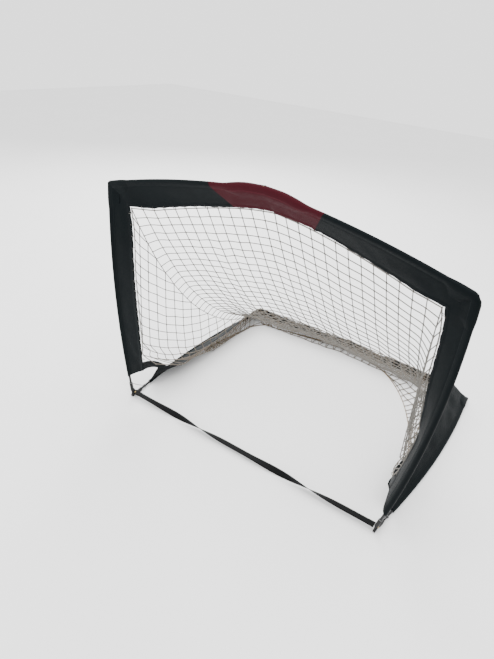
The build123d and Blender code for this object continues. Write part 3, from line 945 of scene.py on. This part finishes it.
def settle_net(points, held, cords):
    """Hangs the net: cords that only pull, gravity, the floor and the ground bands' insides."""
    random = np.random.default_rng(11)
    free = np.ones(len(points))
    free[list(held)] = 0.0
    loose = free > 0
    batches = cord_batches(points, cords)
    points = points + random.normal(0, START_JITTER, points.shape) * free[:, None]
    before = points.copy()
    steps = SETTLE_STEPS
    for _ in range(steps):
        moved = (points - before) * DAMPING
        before = points.copy()
        points = points + (moved - UP * GRAVITY * TIME_STEP ** 2) * free[:, None]
        for _ in range(SETTLE_PASSES):
            for i, j, length in batches:
                gap = points[j] - points[i]
                now = np.linalg.norm(gap, axis=1)
                weight = np.maximum(free[i] + free[j], 1e-6)
                pull = (np.maximum(now - length, 0) / (now * weight))[:, None] * gap
                points[i] += pull * free[i][:, None]
                points[j] -= pull * free[j][:, None]
            points[loose, 2] = np.maximum(points[loose, 2], LYING)
            points[loose, 1] = np.maximum(points[loose, 1], foot_corner[1] + HEM_RADIUS)
            keep_inside(points, loose)
        ground = (points[:, 2] < NEAR_FLOOR)[:, None]
        before = np.where(ground, before + (points - before) * FLOOR_DRAG, before)
    return points


def keep_inside(points, loose):
    """Below a ground band's edge, the net stays on the goal's side of the leaning band."""
    top = GROUND_BAND * sin(REAR_LEAN_CORNER)
    low = loose & (points[:, 2] < top)
    rise = (points[:, 2] - rear_corner[2]) * cos(REAR_LEAN_CORNER)
    out, back = ground_lines(points[:, 0], points[:, 1])
    depth = (out - np.abs(points[:, 0])) * sin(REAR_LEAN_CORNER) - rise
    hit = low & (depth < NET_CLEAR)
    points[hit, 0] -= np.sign(points[hit, 0]) * (NET_CLEAR - depth[hit]) / sin(REAR_LEAN_CORNER)
    depth = (back - points[:, 1]) * sin(REAR_LEAN_CORNER) - rise
    hit = low & (depth < NET_CLEAR)
    points[hit, 1] -= (NET_CLEAR - depth[hit]) / sin(REAR_LEAN_CORNER)


def smooth_cord(points):
    """Points along a curve through the knots, as (edge, part, 3)."""
    padded = np.concatenate([[2 * points[0] - points[1]], points, [2 * points[-1] - points[-2]]])
    t = np.linspace(0, 1, CORD_PARTS + 1)[None, :, None]
    p0, p1, p2, p3 = (padded[k:len(points) - 1 + k][:, None, :] for k in range(4))
    return 0.5 * (2 * p1 + (p2 - p0) * t + (2 * p0 - 5 * p1 + 4 * p2 - p3) * t ** 2
                  + (3 * p1 - p0 - 3 * p2 + p3) * t ** 3)


def tube_mesh(paths, radius, sides=6):
    """Closed tubes along paths of equal length: all vertices, faces and cord coordinates."""
    count, length, _ = paths.shape
    step = np.gradient(paths, axis=1)
    step /= np.maximum(np.linalg.norm(step, axis=2, keepdims=True), 1e-9)
    mean = step.mean(1, keepdims=True)
    helper = np.where(np.abs(mean[..., 2:3]) > STEEP, BACK, UP)
    first = np.cross(step, np.broadcast_to(helper, step.shape))
    first /= np.maximum(np.linalg.norm(first, axis=2, keepdims=True), 1e-9)
    second = np.cross(step, first)
    angle = np.arange(sides) * 2 * pi / sides
    ring = (first[:, :, None] * np.cos(angle)[:, None] + second[:, :, None] * np.sin(angle)[:, None])
    radius = np.broadcast_to(radius, (count, length))[:, :, None, None]
    verts = (paths[:, :, None] + ring * radius).reshape(-1, 3)
    run = np.concatenate([np.zeros((count, 1)), np.cumsum(
        np.linalg.norm(np.diff(paths, axis=1), axis=2), axis=1)], axis=1)
    uv = np.stack(np.broadcast_arrays(run[:, :, None], angle / (2 * pi)), -1).reshape(-1, 2)
    faces = []
    for tube in range(count):
        faces += ring_faces(length, sides, tube * length * sides)
    return verts, faces, uv


def knot_shape():
    """A regular solid's twelve corners, a length of 1 from its middle, and its triangles."""
    short, long = unit(np.array([1, (1 + sqrt(5)) / 2]))
    corners = np.array([np.roll((short * i, long * j, 0), turn)
                        for turn in range(3) for i in (-1, 1) for j in (-1, 1)])
    triangles = []
    for face in combinations(range(len(corners)), 3):
        a, b, c = corners[list(face)]
        if max(np.linalg.norm([a - b, b - c, c - a], axis=1)) < 2.1 * short:
            triangles.append(face if np.cross(b - a, c - a) @ a > 0 else face[::-1])
    return corners, triangles


def knot_mesh(centres, directions, radius):
    """A knot at each crossing: a small lump, drawn out along one cord."""
    shape, triangles = knot_shape()
    verts = centres[:, None] + shape * radius
    along = shape @ directions[:, :, None]
    verts = verts + along * directions[:, None] * radius * KNOT_STRETCH
    faces = [tuple(k * len(shape) + v for v in t) for k in range(len(centres)) for t in triangles]
    return verts.reshape(-1, 3), faces


def region_of(key):
    """The part of the net that a knot belongs to, by its place in the layout."""
    if key[0] == "skirt":
        place = key[2] + SKIRT_FIRST
        half = "left" if place < SIDE_STEPS + NET_COLUMNS / 2 else "right"
        on_rear = SIDE_STEPS <= place <= SIDE_STEPS + NET_COLUMNS
        return half, "rear_skirt" if on_rear else "arm_skirt"
    if key[0] == "main":
        half = "left" if key[2] < NET_COLUMNS / 2 else "right"
        return half, "upper_net" if key[1] < NET_ROWS / 2 else "lower_net"
    if key[2] >= key[1]:
        return key[0], "post_side_net" if key[2] > SIDE_STEPS / 2 else "post_foot_net"
    return key[0], "arm_side_net" if key[1] > SIDE_STEPS / 2 else "arm_foot_net"


def region_direction(points, side, run):
    """The way a region hangs away from its pole, and a point by the middle of that pole."""
    middle = to_side(run.at(run.length / 2, HEM_RADIUS, 0.0), side)
    along = to_side(run.along, side)
    away = points - middle
    away = away - np.outer(away @ along, along)
    longest = np.linalg.eigh(away.T @ away)[1][:, -1]
    return longest * np.sign(longest @ away.mean(0)), middle


def build_net(twine):
    net = Layout()
    lay_main(net)
    for side in SIDES:
        lay_side(net, side)
    lay_skirt(net)
    points = settle_net(np.array(net.points), net.tied | net.pinned, net.cords)
    keys = {}
    for key, index in net.number.items():
        keys.setdefault(index, key)
    owner = {index: region_of(key) for index, key in keys.items()}
    directions = np.tile(UP, (len(points), 1))
    regions = {}
    for _, cord in net.cords:
        border, hem = net.tied.issuperset(cord), net.pinned.issuperset(cord)
        radius = BORDER_RADIUS if border or hem else TWINE_RADIUS
        for k, path in enumerate(smooth_cord(points[cord])):
            region = owner[cord[k]] if cord[k] not in net.tied or border else owner[cord[k + 1]]
            path[:, 2] = np.maximum(path[:, 2], TWINE_RADIUS)
            regions.setdefault(region, []).append((path, radius, float(hem)))
        for k in range(1, len(cord) - 1):
            directions[cord[k]] = unit(points[cord[k + 1]] - points[cord[k - 1]] + 1e-9)
    for (side, name), pieces in regions.items():
        knots = [index for index, region in owner.items() if region == (side, name)]
        add_region(side, name, pieces, points[knots], directions[knots], twine)


def add_region(side, name, pieces, knots, directions, twine):
    """One part of the net, with the cords and knots that belong to it."""
    paths, radii, hem = (np.array(values) for values in zip(*pieces))
    verts, faces, uv = tube_mesh(paths, radii[:, None])
    knot_verts, knot_faces = knot_mesh(knots, directions, KNOT_RADIUS)
    faces += [tuple(len(verts) + v for v in face) for face in knot_faces]
    tan_cord = np.concatenate([np.repeat(hem, len(verts) // len(hem)), np.zeros(len(knot_verts))])
    uv = np.concatenate([uv, np.zeros((len(knot_verts), 2))])
    verts = np.concatenate([verts, knot_verts])
    verts[:, 2] = np.maximum(verts[:, 2], NET_FLOOR)
    soil = 1 - smooth(*SOILED, verts[:, 2])
    piece = new_piece(f"{side}_{name}_twine", verts, faces, twine, uv,
                      {"soil": soil, "tan_cord": tan_cord})
    run = NET_RUNS[name]
    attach(piece, BODIES[side][run])
    axis, anchor = region_direction(knots, side, runs[side][run])
    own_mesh(piece)
    if f"{side}_{name}" in frame["nodes"]:
        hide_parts(f"{side}_{name}")


def tie_loops(side, key, first, last, count, twine):
    """Loops of twine through a band's edge and round the net's border cord."""
    run = runs[side][key]
    turn = np.linspace(0, 2 * pi, LOOP_POINTS)
    paths = []
    for index, place in enumerate(np.linspace(first, last, count)):
        lean = LOOP_LEAN * sin(index * LOOP_TURN)
        a = run.edge(np.array(place)) + LOOP_OUT + LOOP_REACH * np.cos(turn)
        paths.append(run.at(place + lean * np.cos(turn), a, LOOP_HALF * np.sin(turn)))
    verts, faces, uv = tube_mesh(np.array(paths), LOOP_RADIUS, 5)
    verts, faces = on_side(verts, outward(verts, faces), side)
    verts[:, 2] = np.maximum(verts[:, 2], NET_FLOOR)
    clean = np.zeros(len(verts))
    piece = new_piece(f"{side}_{key}_ties", verts, faces, twine, uv,
                      {"soil": clean, "tan_cord": clean})
    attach(piece, BODIES[side][key])
    squash_to_pole(piece, run, side)


def build_ties(twine):
    half = NET_COLUMNS // 2
    for side in SIDES:
        spans = net_spans(side)
        first, last = spans["crossbar"]
        step = (last - first) / half
        count = half if side == "left" else half - 1  # only one of them ties the middle
        tie_loops(side, "crossbar", first + step, first + step * count, count, twine)
        for key in ("post", "arm"):
            first, last = spans[key]
            tie_loops(side, key, first + LOOP_FROM_FOOT, last - LOOP_FROM_CORNER, SIDE_STEPS - 1,
                      twine)
        tie_loops(side, "rear", spans["rear"][0] + LOOP_FROM_CORNER,
                  runs[side]["rear"].length - LOOP_FROM_MIDDLE, half, twine)


# ---------------------------------------------------------------- strap and foot cords
def strap_section(t, half_length):
    """A section of the strap, t of its length from the left: its points and their cloth marks."""
    x = half_length * (2 * t - 1)
    angle = pi * float(sum(smooth(*turn, t) for turn in STRAP_TURNS))
    to_end = min(t, 1 - t) * 2 * half_length
    thick = STRAP_HALF * (1 + STRAP_DOUBLED * float(1 - smooth(*STRAP_SEWN, to_end)))
    across = STRAP_EDGE * STRAP_WIDTH / 2
    off = thick * np.where(np.abs(STRAP_EDGE) == 1, STRAP_EDGE_HALF, 1.0)
    p, q = np.concatenate([across, across[::-1]]), np.concatenate([off, -off[::-1]])
    row = [np.full(len(p), x), p * cos(angle) - q * sin(angle),
           p * sin(angle) + q * cos(angle) - STRAP_DROP * sin(pi * t)]
    return np.stack(row, 1), np.stack([np.full(len(p), x), p], 1)


def build_strap(webbing):
    """Webbing with two half turns in it, doubled and sewn at both ends."""
    low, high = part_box("ground_strap")
    half_length, y, z = high.x, (low.y + high.y) / 2, (low.z + high.z) / 2
    rows, marks = zip(*(strap_section(t, half_length) for t in np.linspace(0, 1, STRAP_STEPS)))
    piece = sections_piece("goal_line_strap", np.array(rows) + (0, y, z), np.array(marks), "left",
                           webbing)
    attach(piece, "left_post")
    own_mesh(piece)
    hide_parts("ground_strap")


def elastic_loop(run, s):
    """One turn of elastic round a pole."""
    turn = np.linspace(0, 2 * pi, ELASTIC_POINTS)
    return run.at(s + ELASTIC_PITCH * np.sin(turn / 2), ELASTIC_LOOP * np.cos(turn),
                  ELASTIC_LOOP * np.sin(turn))


def build_foot_cords(elastic):
    """Thin elastic from post to arm across each open foot, looped round both poles."""
    for side in SIDES:
        post, arm = runs[side]["post"], runs[side]["arm"]
        high = post.at(np.array(ELASTIC_ON_POST), 0.0, 0.0)
        low = arm.at(np.array(ELASTIC_ON_ARM), 0.0, 0.0)
        trim = unit(low - high) * ELASTIC_END
        t = np.linspace(0, 1, ELASTIC_POINTS)[:, None]
        straight = (high + trim) * (1 - t) + (low - trim) * t
        paths = np.array([elastic_loop(post, ELASTIC_ON_POST), elastic_loop(arm, ELASTIC_ON_ARM),
                          straight - UP * ELASTIC_SAG * np.sin(pi * t)])
        verts, faces, uv = tube_mesh(paths, ELASTIC_RADIUS, 8)
        verts, faces = on_side(verts, outward(verts, faces), side)
        piece = new_piece(f"{side}_foot_elastic", verts, faces, elastic, uv)
        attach(piece, BODIES[side]["post"])
        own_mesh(piece)
        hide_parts(f"{side}_foot_cord")


# ---------------------------------------------------------------- materials
class Shader:
    """A node material in the making, with short helpers for its nodes and links."""

    def __init__(self, name):
        self.material = bpy.data.materials.new(name)
        self.material.use_nodes = True
        self.tree = self.material.node_tree
        self.surface = self.tree.nodes["Principled BSDF"]

    def node(self, kind, **inputs):
        made = self.tree.nodes.new(kind)
        for key, value in inputs.items():
            key = key.replace("_", " ")
            if key in made.inputs:
                self.put(made.inputs[key], value)
            else:
                setattr(made, key.replace(" ", "_"), value)
        return made

    def put(self, socket, value):
        if isinstance(value, bpy.types.NodeSocket):
            self.tree.links.new(value, socket)
        else:
            socket.default_value = value

    def math(self, operation, *values):
        made = self.tree.nodes.new("ShaderNodeMath")
        made.operation = operation
        for socket, value in zip(made.inputs, values):
            self.put(socket, value)
        return made.outputs[0]

    def scaled(self, value, factor, offset=0.0):
        return self.math("MULTIPLY_ADD", value, factor, offset)

    def mix(self, share, low, high):
        made = self.tree.nodes.new("ShaderNodeMix")
        made.data_type = "RGBA"
        self.put(made.inputs["Factor"], share)
        self.put(made.inputs[6], low)
        self.put(made.inputs[7], high)
        return made.outputs[2]

    def noise(self, vector, scale, detail=3.0):
        made = self.node("ShaderNodeTexNoise", Vector=vector, Scale=scale, Detail=detail)
        return made.outputs["Fac"]

    def uv(self):
        made = self.tree.nodes.new("ShaderNodeUVMap")
        made.uv_map = "cloth"
        split = self.tree.nodes.new("ShaderNodeSeparateXYZ")
        self.put(split.inputs[0], made.outputs[0])
        return made.outputs[0], split.outputs[0], split.outputs[1]

    def place(self):
        return self.tree.nodes.new("ShaderNodeTexCoord").outputs["Object"]

    def attribute(self, name):
        made = self.tree.nodes.new("ShaderNodeAttribute")
        made.attribute_name = name
        return made.outputs["Fac"]

    def height(self, height, distance, strength=1.0):
        made = self.node("ShaderNodeBump", Height=height, Distance=distance, Strength=strength)
        self.put(self.surface.inputs["Normal"], made.outputs[0])

    def set(self, **inputs):
        for key, value in inputs.items():
            self.put(self.surface.inputs[key.replace("_", " ")], value)


def wave(shader, value, pitch):
    """A sine from 0 to 1 along one coordinate."""
    return shader.scaled(shader.math("SINE", shader.scaled(value, 2 * pi / pitch)), 0.5, 0.5)


def line_at(shader, value, centre, half):
    """1 within half of centre, else 0."""
    gap = shader.math("ABSOLUTE", shader.math("SUBTRACT", value, centre))
    return shader.math("LESS_THAN", gap, half)


def oxford_cloth(name, dark, light, thread):
    """Coated oxford cloth: a fine basket weave, soft sheen, faint dust and two rows of stitches."""
    shader = Shader(name)
    _, along, across = shader.uv()
    place = shader.place()
    edge = shader.attribute("from_edge")
    cloudy, fine = shader.noise(place, 4.0, 4.0), shader.noise(place, 260.0, 2.0)
    rows = shader.math("ADD", line_at(shader, across, HEM_STITCHES, STITCH_HALF),
                       line_at(shader, edge, BINDING_STITCHES, STITCH_HALF))
    dashes = shader.math("GREATER_THAN", wave(shader, along, STITCH_PITCH), 0.35)
    stitches = shader.math("MULTIPLY", dashes, rows)
    worn = shader.math("LESS_THAN", edge, WORN_EDGE)
    colour = shader.mix(shader.scaled(fine, 0.25, shader.scaled(cloudy, 0.8)), dark, light)
    colour = shader.mix(shader.scaled(worn, 0.30), colour, thread)
    colour = shader.mix(stitches, colour, thread)
    shader.set(Base_Color=colour, Roughness=shader.scaled(cloudy, 0.16, 0.44),
               Sheen_Weight=0.008, Sheen_Roughness=0.45, Specular_IOR_Level=0.035)
    weave = shader.math("MULTIPLY", wave(shader, along, WEAVE_PITCH),
                        wave(shader, across, WEAVE_PITCH))
    relief = shader.scaled(weave, 0.5, shader.scaled(stitches, -0.8))
    relief = shader.scaled(shader.noise(place, 24.0, 3.0), 2.2, relief)
    shader.height(relief, 0.0006, 0.5)
    return shader.material


def net_twine():
    """Twisted polyester twine, off-white but coloured dark grey as painted shade, soiled brown where
    it lies on the ground.
    """
    shader = Shader("net_twine")
    _, along, around = shader.uv()
    strands = wave(shader, shader.scaled(around, TWIST_PITCH, along), TWIST_PITCH)
    patchy = shader.noise(shader.place(), 9.0, 4.0)
    # Painted shade: the off-white twine's clean colours here and its strand colour below are set
    # dark grey, so that the net shows as the dark lines of twine in shade.
    clean = shader.mix(patchy, (0.032, 0.030, 0.026, 1), (0.12, 0.112, 0.098, 1))
    soil = shader.math("MULTIPLY", shader.attribute("soil"), shader.scaled(patchy, 0.9, 0.25))
    colour = shader.mix(soil, clean, (0.13, 0.095, 0.06, 1))
    colour = shader.mix(shader.attribute("tan_cord"), colour, (0.24, 0.16, 0.085, 1))
    colour = shader.mix(shader.scaled(strands, 0.25), colour, (0.16, 0.14, 0.11, 1))
    shader.set(Base_Color=colour, Roughness=0.78, Sheen_Weight=0.1)
    shader.height(strands, 0.0005, 0.6)
    return shader.material


def webbing_cloth():
    """Black polypropylene webbing: chevron ribs along the strap and a dusty surface."""
    shader = Shader("webbing")
    _, along, across = shader.uv()
    slant = shader.math("ADD", along, shader.math("ABSOLUTE", across))
    ribs = shader.math("MULTIPLY", wave(shader, slant, RIB_PITCH), wave(shader, across, RIB_WIDTH))
    dust = shader.noise(shader.place(), 14.0, 4.0)
    colour = shader.mix(dust, (0.0012, 0.0014, 0.0016, 1), (0.004, 0.0045, 0.005, 1))
    shader.set(Base_Color=colour, Roughness=0.62, Sheen_Weight=0.01, Specular_IOR_Level=0.08)
    shader.height(ribs, 0.0007, 0.8)
    return shader.material


def elastic_braid():
    """Grey braided elastic, whose strands cross each other both ways round."""
    shader = Shader("elastic_braid")
    _, along, around = shader.uv()
    first, second = (wave(shader, shader.scaled(around, slant, along), BRAID_PITCH)
                     for slant in (2 * BRAID_PITCH, -2 * BRAID_PITCH))
    braid = shader.math("MULTIPLY", first, second)
    colour = shader.mix(braid, (0.05, 0.05, 0.052, 1), (0.30, 0.30, 0.30, 1))
    shader.set(Base_Color=colour, Roughness=0.7)
    shader.height(braid, 0.0004, 0.7)
    return shader.material


def pole_gloss():
    """Pultruded fibreglass: long faint fibre lines under a glossy black skin."""
    shader = Shader("pole_gloss")
    place = shader.place()
    stretch = shader.node("ShaderNodeMapping", Vector=place)
    stretch.inputs["Scale"].default_value = (120.0, 120.0, 8.0)
    fibres = shader.noise(stretch.outputs[0], 6.0, 5.0)
    scuffs = shader.noise(place, 40.0, 6.0)
    colour = shader.mix(fibres, (0.002, 0.002, 0.0022, 1), (0.007, 0.007, 0.008, 1))
    shader.set(Base_Color=colour, Roughness=shader.scaled(scuffs, 0.30, 0.16),
               Specular_IOR_Level=0.30)
    shader.height(fibres, 0.0002, 0.4)
    return shader.material


def moulded_plastic():
    """Spark-textured black nylon, a little paler where it is handled."""
    shader = Shader("moulded_plastic")
    place = shader.place()
    handled = shader.noise(place, 35.0, 4.0)
    colour = shader.mix(handled, (0.002, 0.002, 0.0022, 1), (0.008, 0.008, 0.009, 1))
    shader.set(Base_Color=colour, Roughness=shader.scaled(handled, 0.25, 0.38),
               Specular_IOR_Level=0.25)
    shader.height(shader.noise(place, 900.0, 2.0), 0.0002, 0.5)
    return shader.material


def satin_brass():
    """Satin brass with patches of tarnish."""
    shader = Shader("satin_brass")
    place = shader.place()
    tarnish = shader.noise(place, 160.0, 5.0)
    colour = shader.mix(tarnish, (0.42, 0.28, 0.10, 1), (0.80, 0.60, 0.30, 1))
    shader.set(Base_Color=colour, Metallic=1.0, Roughness=shader.scaled(tarnish, 0.35, 0.18))
    shader.height(shader.noise(place, 500.0, 2.0), 0.0001, 0.4)
    return shader.material


def finish_hardware():
    finishes = {"pole": pole_gloss(), "knuckle": moulded_plastic(), "rivet": satin_brass()}
    slots = {part["node"]: part["material_slot"] for part in frame["record"]["subparts"]}
    for node, slot in slots.items():
        if slot in finishes:
            piece = frame["nodes"][node]
            piece.data.materials.clear()
            piece.data.materials.append(finishes[slot])


# ---------------------------------------------------------------- floor and light
def add_stage():
    far = FLOOR_HALF
    mesh = bpy.data.meshes.new("floor")
    mesh.from_pydata([(-far, -far, 0), (far, -far, 0), (far, far, 0), (-far, far, 0)], [],
                     [(0, 1, 2, 3)])
    floor = add_object("floor", mesh)
    shader = Shader("pale_floor")
    grain = shader.noise(shader.place(), 2.0, 3.0)
    shader.set(Base_Color=shader.mix(grain, (0.86, 0.86, 0.86, 1), (0.90, 0.90, 0.90, 1)),
               Roughness=0.9)
    mesh.materials.append(shader.material)


def add_light(name, place, target, size, power):
    lamp = bpy.data.lights.new(name, "AREA")
    lamp.size = size
    lamp.energy = power
    light = add_object(name, lamp)
    light.location = place
    light.rotation_euler = (Vector(target) - Vector(place)).to_track_quat("-Z", "Y").to_euler()


def light_scene():
    world = bpy.data.worlds.new("studio")
    world.use_nodes = True
    sky = world.node_tree.nodes["Background"]
    sky.inputs["Color"].default_value = (1.0, 1.0, 1.0, 1)
    sky.inputs["Strength"].default_value = SKY_STRENGTH
    bpy.context.scene.world = world
    add_light("window_light", (-2.6, 2.4, 2.8), (-0.2, 0, 0.6), 2.4, 190)
    add_light("overhead_light", (0.4, -0.6, 3.4), (0, 0, 0.3), 3.0, 110)
    add_light("front_fill", (-2.2, -3.0, 1.8), (-0.3, 0, 0.6), 2.0, 34)


add_camera()
black_cloth = oxford_cloth("black_oxford", (0.0012, 0.0020, 0.0024, 1), (0.0042, 0.0064, 0.0074, 1),
                           (0.012, 0.015, 0.016, 1))
red_cloth = oxford_cloth("red_oxford", (0.020, 0.0020, 0.0042, 1), (0.046, 0.0052, 0.0092, 1),
                         (0.11, 0.02, 0.03, 1))
twine_material = net_twine()
for half_side in SIDES:
    build_half_cloth(half_side, black_cloth, red_cloth)
build_centre_hem(red_cloth)
build_net(twine_material)
build_ties(twine_material)
build_strap(webbing_cloth())
build_foot_cords(elastic_braid())
finish_hardware()
add_stage()
light_scene()
